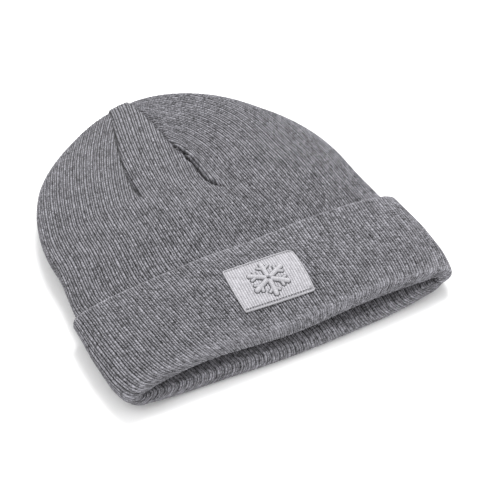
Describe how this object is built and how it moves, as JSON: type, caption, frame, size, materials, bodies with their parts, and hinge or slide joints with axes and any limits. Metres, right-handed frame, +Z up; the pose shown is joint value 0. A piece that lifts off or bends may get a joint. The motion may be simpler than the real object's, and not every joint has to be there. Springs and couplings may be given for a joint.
{
  "type": "cuffed knit beanie",
  "caption": "Knit beanie lying flat: two-ply rib-knit crown closed by darts, turned-up cuff with a sewn woven patch and raised motif, open at the brim.",
  "frame": {"origin": "on the table, under the middle of the bounding box of the lying hat", "axes": "+X along the brim to the wearer's left as the patch is read, +Y from the brim to the crown tip, +Z up from the table"},
  "size_m": [0.222, 0.2307, 0.0337],
  "materials": {
    "rib_knit": "soft melange rib knit",
    "patch_cloth": "fine woven twill",
    "satin_thread": "satin embroidery thread",
    "dark_thread": "matt sewing thread",
    "label_ribbon": "smooth woven ribbon"
  },
  "bodies": {
    "root": {"outer_shell": "rib_knit", "inner_shell": "rib_knit", "cuff": "rib_knit", "crown_seam_front_left": "dark_thread", "crown_seam_front_right": "dark_thread", "crown_seam_back_left": "dark_thread", "crown_seam_back_right": "dark_thread", "crown_tie": "dark_thread", "patch_base": "patch_cloth", "patch_edging": "patch_cloth", "patch_stitches": "dark_thread", "motif_foam": "dark_thread", "motif_satin": "satin_thread", "care_label": "label_ribbon", "label_thread": "satin_thread"}
  },
  "joints": []
}
